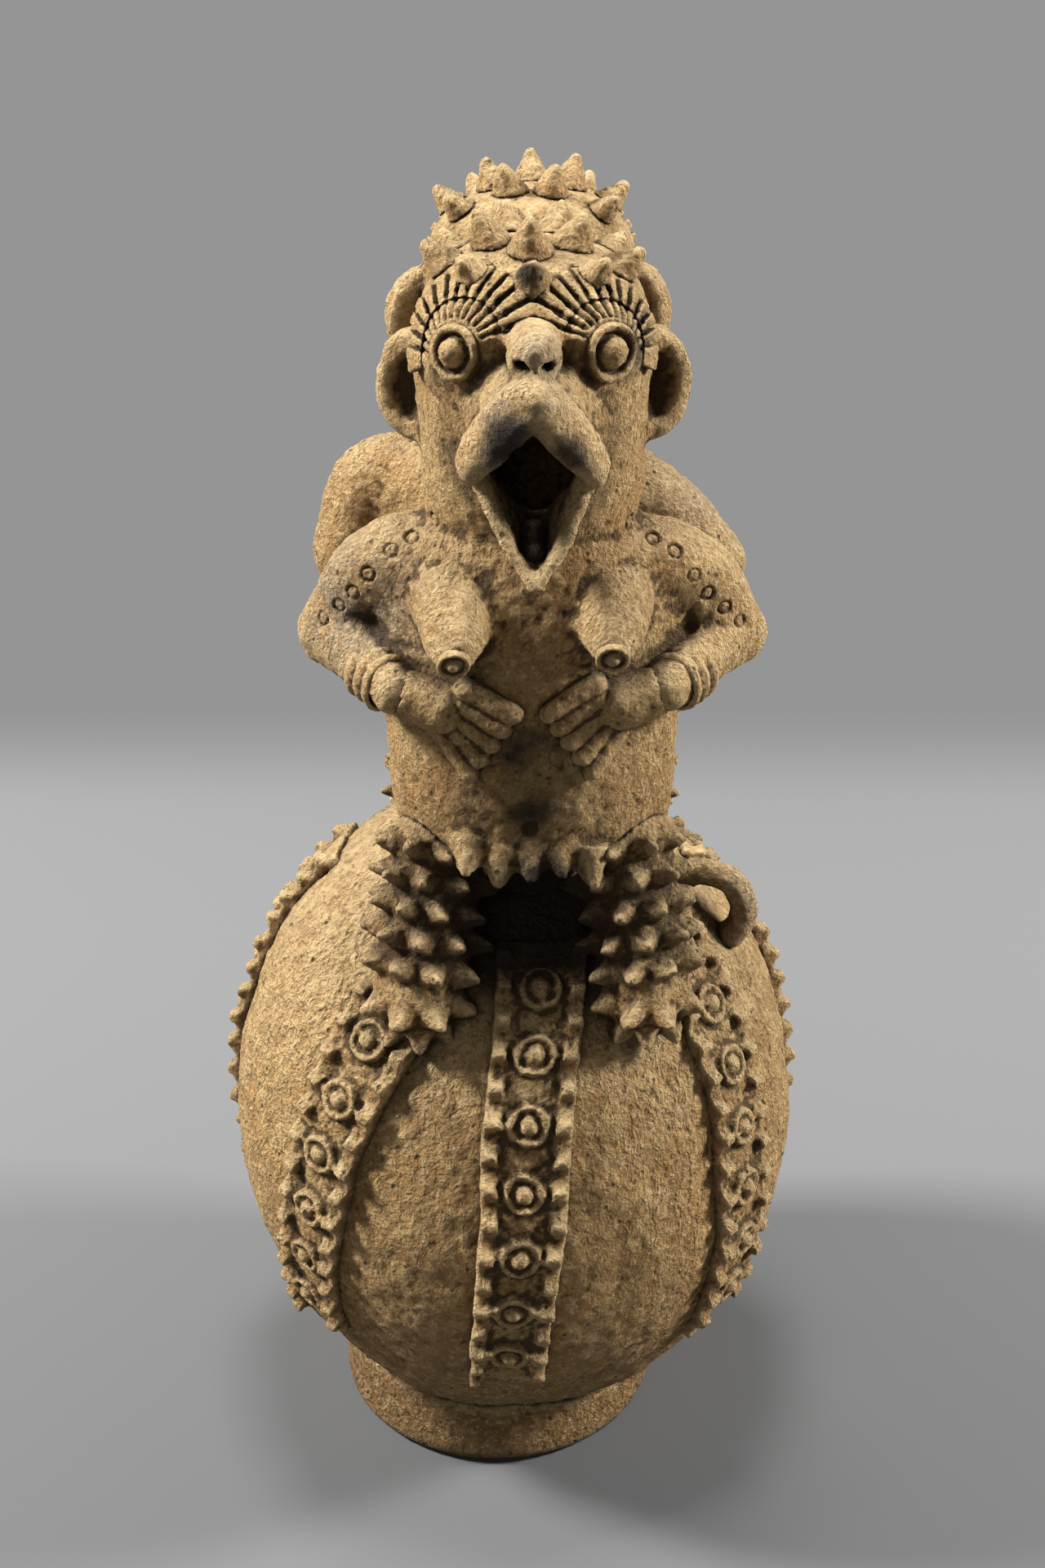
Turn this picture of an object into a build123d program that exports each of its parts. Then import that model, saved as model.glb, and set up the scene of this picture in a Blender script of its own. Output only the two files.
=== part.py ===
from build123d import *
import math
import os

# Twin-figure askos in low-fired clay: a footed globe with seven applied bands, and two figures standing
# back to back on it, each with an open mouth for a spout. Millimetres, +Z up, the first figure facing -Y.
# The origin is the point of the ground under the middle of the globe.

# Globe and foot
globe_radius = 88.0
globe_half_height = 106.0
globe_clearance = 5.0
clay_wall = 7.0
luting_seam = 0.04
foot_radius = 52.0
foot_wall = 9.0
foot_shift = -5.5

# Applied bands and their ringed bosses
band_turns_and_leans = ((1, 4.5), (51, 0), (105, 0), (153, 0), (207, 0), (260, 0), (318, 12))
band_top_width = 26.0
band_foot_width = 22.0
band_plate = 2.6
band_edge_rise = 6.0
band_edge_width = 4.6
boss_count = 7
boss_top_angle = 45.6
boss_step_angle = 10.8

# Suspension ring on the shoulder
lug_turn = 74.0
lug_angle = 47.0
lug_radius = 11.5
lug_coil = 4.2

# Figures
figure_shift = 5.5
figure_set_back = 36.0
hip_rise = 11.0
trunk_height = 90.0
trunk_half_width = 40.0
trunk_half_depth = 28.0
neck_half_width = 27.5
neck_half_depth = 23.0
throat_radius = 14.0
throat_bore = 8.5
throat_set_back = 26.0
leg_radius = 13.5
leg_spike_rise = 6.5
leg_spike_rows = 5
arm_radius = 9.6
wrist_radius = 6.6
bracelet_coil = 1.7
finger_radius = 3.0
breast_radius = 10.5
nipple_radius = 4.4

# Heads
head_height = 73.0
head_half_width = 30.5
head_half_depth = 30.0
head_lean = 4.0
eye_radius = 7.0
eye_spread = 17.5
brow_rise = 3.0
brow_grooves = 13
nose_radius = 6.3
lip_radius = 6.3
mouth_half_width = 16.5
jaw_reach = 31.0
jaw_tip_half_width = 6.2
jaw_wall = 3.8
tongue_radius = 3.4
ear_half_height = 14.5
ear_half_width = 11.0
ear_thickness = 8.0
hair_spike_rise = 7.5

# Heights that follow from the sizes above
globe_centre = globe_clearance + globe_half_height
globe_top = globe_centre + globe_half_height
hip_z = globe_top + hip_rise
neck_z = hip_z + trunk_height
crown_z = neck_z + head_height
eye_z = neck_z + 0.69 * head_height
mouth_z = neck_z + 0.36 * head_height
pole_angle = 88.0
head_y = -figure_set_back - head_lean
trunk_front = -figure_set_back - trunk_half_depth
face_front = head_y - head_half_depth


def egg_arc(grow, low_angle, high_angle):
    """Arc of the grown ovoid's outline between two angles up from its equator."""
    return EllipticalCenterArc(
        (0, globe_centre),
        globe_radius + grow,
        globe_half_height + grow,
        start_angle=low_angle,
        arc_size=high_angle - low_angle,
    )


def egg(grow):
    """Ovoid of the globe, grown outwards on every side, with a small flat at each pole."""
    arc = egg_arc(grow, -pole_angle, pole_angle)
    outline = arc + Polyline(arc @ 1, (0, (arc @ 1).Y), (0, (arc @ 0).Y), arc @ 0)
    return revolve(Plane.XZ * make_face(outline), Axis.Z)


def egg_plane(angle, grow):
    """Plane standing on the grown ovoid's front, at an angle up from its equator."""
    turn = math.radians(angle)
    radius = globe_radius + grow
    half_height = globe_half_height + grow
    spot = Vector(0, -radius * math.cos(turn), globe_centre + half_height * math.sin(turn))
    outward = Vector(0, -math.cos(turn) / radius, math.sin(turn) / half_height)
    return Plane(origin=spot, x_dir=(1, 0, 0), z_dir=outward)


def coil(start, end, start_radius, end_radius):
    """Tapered roll of clay with round ends, between two points."""
    start = Vector(*start)
    end = Vector(*end)
    length = (end - start).length
    slope = math.asin((start_radius - end_radius) / length)
    low = (slope - math.pi / 2) / 2
    high = (slope + math.pi / 2) / 2
    side = (math.cos(slope), math.sin(slope))
    low_edge = (start_radius * side[0], start_radius * side[1])
    high_edge = (end_radius * side[0], length + end_radius * side[1])
    outline = Polyline((0, length + end_radius), (0, -start_radius))
    outline += ThreePointArc(
        (0, -start_radius), (start_radius * math.cos(low), start_radius * math.sin(low)), low_edge
    )
    outline += Line(low_edge, high_edge)
    outline += ThreePointArc(
        high_edge,
        (end_radius * math.cos(high), length + end_radius * math.sin(high)),
        (0, length + end_radius),
    )
    roll = revolve(Plane.XZ * make_face(outline), Axis.Z)
    return Plane(origin=start, z_dir=end - start) * roll


def ring_seat(radius, depth):
    """Round pad with a raised rim, standing on its own plane and rooted below it."""
    outline = Polyline(
        (0, -depth),
        (radius, -depth),
        (radius, 0.28 * radius),
        (0.88 * radius, 0.38 * radius),
        (0.74 * radius, 0.3 * radius),
        (0.66 * radius, 0.1 * radius),
        (0, 0.1 * radius),
        close=True,
    )
    return revolve(Plane.XZ * make_face(outline), Axis.Z)


def ringed_boss(radius, depth):
    """Round pad with a raised rim and a button in its middle."""
    button = coil((0, 0, -depth / 2), (0, 0, 0.12 * radius), 0.5 * radius, 0.46 * radius)
    return ring_seat(radius, depth) + button


def lofted(stations):
    """Solid through level ellipses, each given as height, depth place, half width and half depth."""
    return loft([Pos(0, y, z) * Ellipse(a, b) for z, y, a, b in stations])


def shrunk(stations, amount):
    """The same ellipses, drawn in on every side."""
    return [(z, y, a - amount, b - amount) for z, y, a, b in stations]


def mirrored(shape):
    """The piece on the figure's other side."""
    return mirror(shape, Plane.YZ)


def placed(shape, turn):
    """A piece of a figure, moved to its place on the globe."""
    return Pos(figure_shift, 0, 0) * Rot(0, 0, turn) * shape


def near(one, other):
    """Whether the boxes round two shapes meet."""
    low = one.bounding_box(optimal=False)
    high = other.bounding_box(optimal=False)
    along_x = low.min.X <= high.max.X and high.min.X <= low.max.X
    along_y = low.min.Y <= high.max.Y and high.min.Y <= low.max.Y
    along_z = low.min.Z <= high.max.Z and high.min.Z <= low.max.Z
    return along_x and along_y and along_z


def less(shape, cutters):
    """The main body of a piece, trimmed by each of its neighbours."""
    for cutter in cutters:
        if near(shape, cutter):
            shape = shape - cutter
    return max(shape.solids(), key=lambda solid: solid.volume)


def group(solids):
    """Separate solids of one node, kept apart."""
    return Compound(children=list(solids))


# Globe and foot ring
globe_form = egg(0)
throat_bores = [
    placed(Pos(0, -throat_set_back, globe_centre) * Cylinder(
        throat_bore, globe_half_height + hip_rise, align=(Align.CENTER, Align.CENTER, Align.MIN)
    ), turn)
    for turn in (0, 180)
]
globe = less(globe_form, [egg(-clay_wall)] + throat_bores)

foot_height = globe_centre
foot_outline = Polyline(
    (foot_radius - foot_wall, 0),
    (foot_radius - 2, 0),
    (foot_radius, 2.5),
    (foot_radius - 1, foot_height),
    (foot_radius - foot_wall, foot_height),
    close=True,
)
foot_form = revolve(Plane.XZ * make_face(foot_outline), Axis.Z)
foot_ring = Pos(foot_shift, 0, 0) * foot_form - globe_form
foot_ring = foot_ring.solids().sort_by(Axis.Z)[0]

# Figure, built at the middle and facing -Y
trunk_stations = [
    (hip_z, -figure_set_back, 0.94 * trunk_half_width, 0.93 * trunk_half_depth),
    (hip_z + 0.28 * trunk_height, -figure_set_back, trunk_half_width, trunk_half_depth),
    (hip_z + 0.62 * trunk_height, -figure_set_back, 1.01 * trunk_half_width, trunk_half_depth),
    (hip_z + 0.86 * trunk_height, -figure_set_back, 0.93 * trunk_half_width, 0.92 * trunk_half_depth),
    (neck_z, -figure_set_back, neck_half_width, neck_half_depth),
]
trunk_body = lofted(trunk_stations)
throat_base = globe_centre + 0.7 * globe_half_height
throat_height = hip_z + clay_wall - throat_base
throat = Pos(0, -throat_set_back, throat_base) * Cylinder(
    throat_radius, throat_height, align=(Align.CENTER, Align.CENTER, Align.MIN)
)
throat_passage = Pos(0, -throat_set_back, throat_base - 1) * Cylinder(
    throat_bore, throat_height + 2, align=(Align.CENTER, Align.CENTER, Align.MIN)
)
trunk_form = trunk_body + throat
trunk_hollow = shrunk(trunk_stations, clay_wall)
trunk_hollow[0] = (hip_z + clay_wall,) + trunk_hollow[0][1:]
navel = Pos(0, trunk_front, hip_z + 0.11 * trunk_height) * Sphere(3.2)
trunk = less(trunk_form, [lofted(trunk_hollow), throat_passage, navel])

head_stations = [
    (neck_z, -figure_set_back, neck_half_width, neck_half_depth),
    (neck_z + 0.2 * head_height, head_y + 1.5, 0.95 * head_half_width, 0.88 * head_half_depth),
    (neck_z + 0.45 * head_height, head_y, head_half_width, head_half_depth),
    (neck_z + 0.68 * head_height, head_y, head_half_width, head_half_depth),
    (neck_z + 0.86 * head_height, head_y + 1, 0.84 * head_half_width, 0.84 * head_half_depth),
    (neck_z + 0.96 * head_height, head_y + 2, 0.52 * head_half_width, 0.52 * head_half_depth),
    (crown_z, head_y + 2, 0.2 * head_half_width, 0.2 * head_half_depth),
]
head_hollow = shrunk(head_stations[:5], clay_wall)
head_hollow[4] = (head_hollow[4][0] - 2,) + head_hollow[4][1:]
head_dome = lofted(head_stations)
muzzle = coil(
    (0, face_front + 12, mouth_z + 0.1 * head_height),
    (0, face_front - 5, mouth_z + 0.12 * head_height),
    0.27 * head_height,
    0.17 * head_height,
)
head_form = head_dome + muzzle

# Open mouth with a rolled upper lip and a pointed, scooped lower jaw
lip_corner = Vector(0.8 * mouth_half_width, face_front - 6, mouth_z + 1)
lip_apex = Vector(0, face_front - 16, mouth_z + 0.23 * head_height)
jaw_root = Vector(0, face_front - 3, mouth_z)
jaw_slope = math.radians(63)
jaw_plane = Plane(
    origin=jaw_root, x_dir=(1, 0, 0), z_dir=(0, math.sin(jaw_slope), -math.cos(jaw_slope))
)


def jaw_loft(inset, depth):
    """Tapering scoop behind the beak-shaped rim of the jaw."""
    half_width = mouth_half_width + 1.5 - inset
    half_tip = jaw_tip_half_width - 0.72 * inset
    tip = jaw_reach - inset
    rim = make_face(
        Polyline((-half_width, -4), (half_width, -4), (half_tip, tip), (-half_tip, tip), close=True)
    )
    rim = fillet(rim.vertices().group_by(Axis.Y)[-1], 0.9 * half_tip)
    return loft([jaw_plane * rim, jaw_plane.offset(depth) * scale(rim, 0.45)])


jaw_depth = 0.9 * head_half_depth
scoop = jaw_loft(jaw_wall, jaw_depth - jaw_wall)
mouth_outline = Polyline(
    (0, mouth_z + 0.15 * head_height),
    (0.74 * mouth_half_width, mouth_z - 3),
    (0.4 * mouth_half_width, mouth_z - 0.17 * head_height),
    (-0.4 * mouth_half_width, mouth_z - 0.17 * head_height),
    (-0.74 * mouth_half_width, mouth_z - 3),
    close=True,
)
mouth_bore = extrude(Plane.XZ.offset(-head_y) * make_face(mouth_outline), 3 * head_half_depth)
head = less(head_form, [lofted(head_hollow), mouth_bore, scoop])

upper_lip = coil(lip_corner, lip_apex, lip_radius, 1.06 * lip_radius)
upper_lip = upper_lip + mirrored(coil(lip_corner, lip_apex, lip_radius, 1.02 * lip_radius))
upper_lip = less(upper_lip, [head_form, mouth_bore])
lower_jaw = less(jaw_loft(0, jaw_depth), [scoop, mouth_bore, head_form, upper_lip, trunk_form])


def scoop_floor(depth):
    """Distance from the mouth's corners down to the floor of the scoop, at a depth behind its rim."""
    return (jaw_reach - jaw_wall) * (1 - 0.55 * depth / (jaw_depth - jaw_wall))


tongue_back = 0.5 * jaw_depth
tongue_tip = 0.16 * jaw_depth
tongue = coil(
    jaw_plane.from_local_coords((0, scoop_floor(tongue_back) - 0.6 * tongue_radius, tongue_back)),
    jaw_plane.from_local_coords((0, scoop_floor(tongue_tip) - 0.5 * tongue_radius, tongue_tip)),
    tongue_radius,
    0.75 * tongue_radius,
)
tongue = less(tongue, [lower_jaw, head_form])
nose = coil(
    (0, face_front, eye_z + 0.06 * head_height),
    (0, face_front - 12, eye_z + 0.04 * head_height),
    0.8 * nose_radius,
    nose_radius,
)
nostril = coil(
    (0.45 * nose_radius, face_front - 24, eye_z - 2), (0.42 * nose_radius, face_front - 12, eye_z + 3), 2.2, 2.0
)
nose = less(nose, [head_form, upper_lip, nostril, mirrored(nostril)])

# Eyes, brows and ears
eye_spot = Vector(eye_spread, face_front + 4, eye_z)
eye_outward = eye_spot - Vector(0, head_y + 4, eye_z - 5)
eye_plane = Plane(origin=eye_spot, x_dir=(1, 0, 0), z_dir=eye_outward)
eye_ring_form = eye_plane * ring_seat(eye_radius, 0.9 * eye_radius)
eye_ring = less(eye_ring_form, [head_form, nose, upper_lip])
eyeball = eye_plane * Pos(0, 0, 0.16 * eye_radius) * Sphere(0.54 * eye_radius)
eyeball = less(eyeball, [eye_ring_form, head_form])

brow_skin = lofted(shrunk(head_stations, -brow_rise))
brow_outer = eye_spread + 2.5
brow_inner = 0.62 * brow_outer
brow_sector = make_face(
    Polyline((0, 0), (40, -12), (40, 60), (-40, 60), (-40, 16), close=True)
)
brow_shape = (Circle(brow_outer) - Circle(brow_inner)) & brow_sector
for number in range(brow_grooves):
    groove_turn = 4 + number * 150 / (brow_grooves - 1)
    brow_shape -= Rot(0, 0, groove_turn) * Pos(brow_outer, 0) * Rectangle(2 * (brow_outer - brow_inner) - 4, 1.3)
half_space = Pos(0.15, 0, 0) * Box(
    4 * head_half_width, 8 * head_half_depth, 4 * crown_z, align=(Align.MIN, Align.CENTER, Align.CENTER)
)
brow = extrude(eye_plane.offset(-14) * brow_shape, 26) & brow_skin & half_space
brow = less(brow, [head_form, eye_ring_form, nose])

ear_plane = Plane(
    origin=(head_half_width, head_y + 2, mouth_z + 0.13 * head_height),
    x_dir=(0.94, 0.34, 0),
    z_dir=(0.34, -0.94, 0),
)
ear_blank = extrude(Ellipse(ear_half_width, ear_half_height), ear_thickness / 2, both=True)
ear_blank = fillet(ear_blank.edges(), 0.3 * ear_thickness)
ear_dish = Pos(0, 0, 0.62 * ear_thickness) * scale(
    Sphere(1), by=(0.6 * ear_half_width, 0.64 * ear_half_height, 0.7 * ear_thickness)
)
ear = less(ear_plane * (ear_blank - ear_dish), [head_form, brow])

# Spiked hair in rows round the crown
dome_centre = Vector(0, head_y, neck_z + 0.62 * head_height)
dome_rise = crown_z - dome_centre.Z


def hair_spike(tilt, turn):
    """Pinched spike standing on the dome of the head."""
    tilt = math.radians(tilt)
    turn = math.radians(turn)
    way = Vector(math.sin(tilt) * math.sin(turn), -math.sin(tilt) * math.cos(turn), math.cos(tilt))
    across = math.sin(tilt) / head_half_width
    along = math.cos(tilt) / dome_rise
    reach = 1 / math.hypot(across, along)
    return coil(
        dome_centre + way * (reach - 6), dome_centre + way * (reach + hair_spike_rise - 1), 7.0, 1.5
    )


hair_rows = ((21, 5), (45, 9))
hair_spikes = []
for tilt, count in hair_rows:
    for number in range(count):
        hair_spikes.append(hair_spike(tilt, number * 360 / count))

brow_pair = [brow, mirrored(brow)]
ear_pair = [ear, mirrored(ear)]
hair_spikes = [less(spike, [head_form] + brow_pair + ear_pair) for spike in hair_spikes]

# Arms akimbo, bracelets and spread hands
shoulder = Vector(0.76 * trunk_half_width, -figure_set_back - 2, hip_z + 0.84 * trunk_height)
elbow = Vector(1.39 * trunk_half_width, -figure_set_back + 6, hip_z + 0.59 * trunk_height)
wrist = Vector(0.9 * trunk_half_width, trunk_front + 6, hip_z + 0.54 * trunk_height)
palm = Vector(0.58 * trunk_half_width, trunk_front + 5, hip_z + 0.5 * trunk_height)
upper_arm = coil(shoulder, elbow, 1.35 * arm_radius, 0.92 * arm_radius)
elbow_radius = 0.86 * arm_radius
forearm = coil(elbow, wrist, elbow_radius, wrist_radius)
arm = less(upper_arm + forearm, [trunk_form])

hand = coil(wrist, palm, 0.96 * wrist_radius, 1.2 * wrist_radius)
for number in range(5):
    spread = number / 4
    knuckle = Vector(
        (0.425 + 0.15 * spread) * trunk_half_width,
        trunk_front + 1 + 3 * spread,
        hip_z + (0.575 - 0.16 * spread) * trunk_height,
    )
    fingertip = Vector(
        (0.11 + 0.28 * spread) * trunk_half_width,
        trunk_front - 1 + 1.8 * spread,
        hip_z + (0.5 - 0.2 * spread) * trunk_height,
    )
    hand = hand + coil(knuckle, fingertip, 1.08 * finger_radius, 0.9 * finger_radius)
hand = less(hand, [trunk_form, arm])

forearm_way = wrist - elbow
forearm_slope = math.asin((elbow_radius - wrist_radius) / forearm_way.length)


def forearm_edge(along, rise):
    """Point of the forearm's tapering side, as distance from its axis and along it."""
    radius = (elbow_radius - along * math.sin(forearm_slope)) / math.cos(forearm_slope)
    return (radius + rise, along)


bracelets = []
for number in range(3):
    along = (0.66 + 0.11 * number) * forearm_way.length
    low = forearm_edge(along - bracelet_coil, luting_seam)
    high = forearm_edge(along + bracelet_coil, luting_seam)
    outline = Line(high, low) + ThreePointArc(low, forearm_edge(along, bracelet_coil), high)
    ring = revolve(Plane.XZ * make_face(outline), Axis.Z)
    ring = Plane(origin=elbow, z_dir=forearm_way) * ring
    bracelets.append(less(ring, [trunk_form, hand]))

# Breasts and their ringed nipples
breast_root = Vector(0.5 * trunk_half_width, trunk_front + 9, hip_z + 0.8 * trunk_height)
breast_tip = Vector(0.5 * trunk_half_width, trunk_front - 5, hip_z + 0.735 * trunk_height)
breast_form = coil(breast_root, breast_tip, breast_radius, 0.6 * breast_radius)
breast = less(breast_form, [trunk_form, arm, hand])
nipple_way = breast_tip - breast_root
nipple_plane = Plane(
    origin=breast_tip + nipple_way.normalized() * (0.6 * breast_radius - 0.6), z_dir=nipple_way
)
nipple = less(nipple_plane * ringed_boss(nipple_radius, 0.8 * nipple_radius), [breast_form, hand])

# Legs straddling the globe, studded with spikes
hip = Vector(0.64 * trunk_half_width, -figure_set_back - 9, hip_z - 3)
leg_foot = Vector(
    0.8 * trunk_half_width, -figure_set_back - 23, globe_centre + 0.7 * globe_half_height
)
leg_core = coil(hip, leg_foot, leg_radius, 0.95 * leg_radius)
leg_plane = Plane(origin=hip, x_dir=(1, 0, 0), z_dir=leg_foot - hip)
leg_length = (leg_foot - hip).length
leg_spikes = []
for row in range(leg_spike_rows):
    for number in range(6):
        turn = math.radians(-55 + number * 40 + 20 * (row % 2))
        way = leg_plane.from_local_coords((math.cos(turn), math.sin(turn), 0)) - leg_plane.origin
        spot = leg_plane.from_local_coords((0, 0, (row + 0.14) * leg_length / leg_spike_rows))
        leg_spikes.append(
            coil(spot + way * (leg_radius - 4), spot + way * (leg_radius + leg_spike_rise - 1), 4.9, 1.0)
        )
leg_form = leg_core + leg_spikes

# Bands with scalloped edges, standing on the globe
band_top_angle = boss_top_angle + 0.75 * boss_step_angle
band_foot_angle = boss_top_angle - (boss_count - 0.1) * boss_step_angle


def band_shell(low, high, overrun):
    """Sixth of a shell round the globe, between two heights above its skin."""
    inner = egg_arc(low, band_foot_angle - overrun, band_top_angle + overrun)
    outer = egg_arc(high, band_foot_angle - overrun, band_top_angle + overrun)
    outline = inner + outer + Line(inner @ 0, outer @ 0) + Line(inner @ 1, outer @ 1)
    return Rot(0, 0, -120) * revolve(Plane.XZ * make_face(outline), Axis.Z, 60)


def band_slab(trim):
    """Upright slab behind the band's tapering outline."""
    top = band_top_width / 2 - trim
    foot = band_foot_width / 2 - trim
    outline = Polyline((-top, globe_top), (top, globe_top), (foot, 0), (-foot, 0), close=True)
    return extrude(Plane.XZ * make_face(outline), 1.5 * globe_radius)


def leaned(shape, turn, lean):
    """A piece of the front meridian, leaned and then turned round the globe."""
    upright = Pos(0, 0, globe_centre) * Rot(0, lean, 0) * Pos(0, 0, -globe_centre) * shape
    return Rot(0, 0, turn) * upright


def band_blank(lean):
    """Front band with raised, scalloped edges and a channel between them."""
    strip = leaned(band_slab(0), 0, lean) & band_shell(luting_seam, band_edge_rise, 0)
    strip -= leaned(band_slab(band_edge_width), 0, lean) & band_shell(band_plate, 2 * band_edge_rise, 5)
    bar = Rot(0, 90, 0) * Cylinder(scallop_radius, 2 * band_top_width)
    scallops = []
    for number in range(2 * boss_count + 3):
        angle = boss_top_angle + (1.5 - number) * boss_step_angle / 2
        scallops.append(leaned(egg_plane(angle, band_edge_rise + 0.6) * bar, 0, lean))
    strip = strip - scallops
    bosses = []
    for number in range(boss_count):
        angle = boss_top_angle - number * boss_step_angle
        bosses.append(leaned(egg_plane(angle, band_plate) * boss, 0, lean))
    return strip + bosses


scallop_radius = math.radians(boss_step_angle / 2) * globe_radius / 2
boss_radius = 0.95 * (band_foot_width / 2 - band_edge_width)
boss = ringed_boss(boss_radius, 0.7 * band_plate)
blanks = {lean: band_blank(lean) for turn, lean in band_turns_and_leans}
leg_cores = [placed(core, turn) for core in (leg_core, mirrored(leg_core)) for turn in (0, 180)]
bands = [less(Rot(0, 0, turn) * blanks[lean], leg_cores) for turn, lean in band_turns_and_leans]
pieces = {"globe": globe, "foot_ring": foot_ring}
for number, band in enumerate(bands):
    pieces["band_" + str(number + 1)] = band

lug_plane = egg_plane(lug_angle, 1.5)
lug = Rot(0, 0, lug_turn) * (lug_plane * (Rot(0, 90, 0) * Torus(lug_radius, lug_coil)))
pieces["shoulder_ring"] = less(lug, [globe_form] + bands)

# Both figures in place, trimmed to the globe where they stand on it
for side, turn in (("front", 0), ("rear", 180)):
    trunk_there = placed(trunk_form, turn)
    pieces[side + "_trunk"] = less(placed(trunk, turn), [globe_form])
    for hand_side, form in (("left", mirrored(leg_form)), ("right", leg_form)):
        leg = less(placed(form, turn), bands + [globe_form, trunk_there])
        pieces[side + "_leg_" + hand_side] = leg
    singles = {
        "head": head,
        "upper_lip": upper_lip,
        "lower_jaw": lower_jaw,
        "tongue": tongue,
        "nose": nose,
    }
    pairs = {"arm": arm, "hand": hand, "ear": ear, "brow": brow}
    groups = {
        "breasts": [breast, mirrored(breast)],
        "nipples": [nipple, mirrored(nipple)],
        "bracelets": bracelets + [mirrored(ring) for ring in bracelets],
        "eye_rings": [eye_ring, mirrored(eye_ring)],
        "eyeballs": [eyeball, mirrored(eyeball)],
        "hair_spikes": hair_spikes,
    }
    for name, shape in singles.items():
        pieces[side + "_" + name] = placed(shape, turn)
    for name, shape in pairs.items():
        pieces[side + "_" + name + "_right"] = placed(shape, turn)
        pieces[side + "_" + name + "_left"] = placed(mirrored(shape), turn)
    for name, solids in groups.items():
        pieces[side + "_" + name] = group([placed(solid, turn) for solid in solids])

os.makedirs("parts", exist_ok=True)
for name, shape in pieces.items():
    shape.label = name
    export_step(shape, "parts/" + name + ".step")
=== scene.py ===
import math

import bmesh
import bpy
import numpy as np
from bpy.props import FloatProperty, FloatVectorProperty, IntProperty, PointerProperty
from mathutils import Matrix, Vector, kdtree, noise


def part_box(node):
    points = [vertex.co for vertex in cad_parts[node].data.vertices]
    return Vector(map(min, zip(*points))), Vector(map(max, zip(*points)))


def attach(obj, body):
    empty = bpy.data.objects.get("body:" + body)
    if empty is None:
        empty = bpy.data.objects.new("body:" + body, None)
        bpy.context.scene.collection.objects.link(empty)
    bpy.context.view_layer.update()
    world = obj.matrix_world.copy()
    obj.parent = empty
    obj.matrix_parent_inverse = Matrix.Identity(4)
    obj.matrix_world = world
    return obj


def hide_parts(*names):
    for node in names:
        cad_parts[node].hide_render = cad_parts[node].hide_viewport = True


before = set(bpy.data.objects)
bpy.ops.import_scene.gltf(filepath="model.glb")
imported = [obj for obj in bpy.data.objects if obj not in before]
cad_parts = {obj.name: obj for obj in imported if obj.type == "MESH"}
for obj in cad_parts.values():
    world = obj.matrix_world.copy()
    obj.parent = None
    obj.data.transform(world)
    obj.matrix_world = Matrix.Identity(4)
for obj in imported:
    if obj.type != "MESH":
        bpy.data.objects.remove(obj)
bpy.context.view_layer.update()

bl_info = {
    "name": "Twin-figure askos",
    "version": (1, 0, 0),
    "blender": (4, 5, 0),
    "location": "3D View > Sidebar > Askos",
    "description": "Models the hand-worked clay of a twin-figure askos and sets up its studio",
    "category": "Object",
}

# Names of the nodes that each lump of clay takes in
figures = ("front", "rear")
body_nodes = (
    "trunk", "head", "arm_left", "arm_right", "breasts", "upper_lip", "lower_jaw", "ear_left", "ear_right",
    "nose",
)
face_nodes = ("eye_rings", "eyeballs", "brow_left", "brow_right", "tongue")
hand_nodes = ("hand_left", "hand_right", "bracelets", "nipples")
band_nodes = tuple(name for name in sorted(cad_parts) if name.startswith("band_"))

# Places on the right half of the front figure, in metres from the ground under the globe. The left half
# mirrors them, and the rear figure has them turned round. Both figures are shifted across the globe.
figure_shift = 0.0055
shoulder = Vector((0.0304, -0.038, 0.3036))
elbow = Vector((0.0556, -0.030, 0.2811))
wrist = Vector((0.036, -0.058, 0.2766))
foot = Vector((0.032, -0.059, 0.1852))
foot_radius = 0.0125
girdle = Vector((0, -0.0615, 0.2265))
arch = Vector((0, -0.05, 0.206))
eye_spot = Vector((0.0175, -0.066, 0.3684))
eye_outward = Vector((0.0175, -0.030, 0.005))
hair_centre = Vector((0, -0.04, 0.36))
globe_centre = Vector((0, 0, 0.12))

# Studs round a foot, in rows that dip by an angle, with the turn of each stud in its row, in degrees
foot_stud_rows = ((-8, (-65, -22, 22, 65)), (-45, (-45, 0, 45)))

# Studs along the lower edge of a trunk
girdle_count = 5
girdle_step = 0.0082
girdle_waver = 0.002

# Lines that a comb left in the brows, in degrees round the eye and in metres from its middle
comb_count = 13
comb_start = 4
comb_step = 12.5
comb_near = 0.0082
comb_far = 0.0150
comb_width = 0.00055
comb_depth = 0.0011

# Clay pressed up between eye and brow, in degrees round the eye and in metres from its middle
root_turns = (-20, 20, 65, 110, 155)
root_radius = 0.0105
root_reach = 0.0055
root_push = (0.0018, -0.0032, 0.0004)

# How far a band is pressed into the globe, and how much longer the hair spikes are drawn
band_press = 0.0007
hair_draw = 1.18

# Joins that the potter smoothed, each with its reach
neck_joins = (((0, -0.036, 0.318), 0.034), ((0, -0.087, 0.316), 0.009))
arm_joins = (((0.021, -0.064, 0.302), 0.018), ((0.034, -0.038, 0.300), 0.024))

# Swellings and pinches, each with its reach and its push
shoulder_swell = (((0.043, -0.035, 0.297), 0.019, (0.0045, 0, 0.0065)),)
eye_mound = (((0.0185, -0.067, 0.373), 0.011, (0.0015, -0.0024, 0.0006)),)
jaw_tip = (((0, -0.088, 0.3155), 0.006, (0, -0.002, -0.003)),)
jaw_sides = (
    ((0.0065, -0.0855, 0.319), 0.0055, (-0.002, 0, 0)),
    ((0.017, -0.079, 0.346), 0.010, (-0.003, 0, 0)),
    ((0.0105, -0.083, 0.3395), 0.0075, (0.0036, 0, 0)),
)
rear_lean = (
    ((0.04, -0.034, 0.306), 0.022, (0.0095, 0, 0.002)),
    ((-0.04, -0.034, 0.306), 0.022, (0.0095, 0, -0.003)),
)

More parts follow.
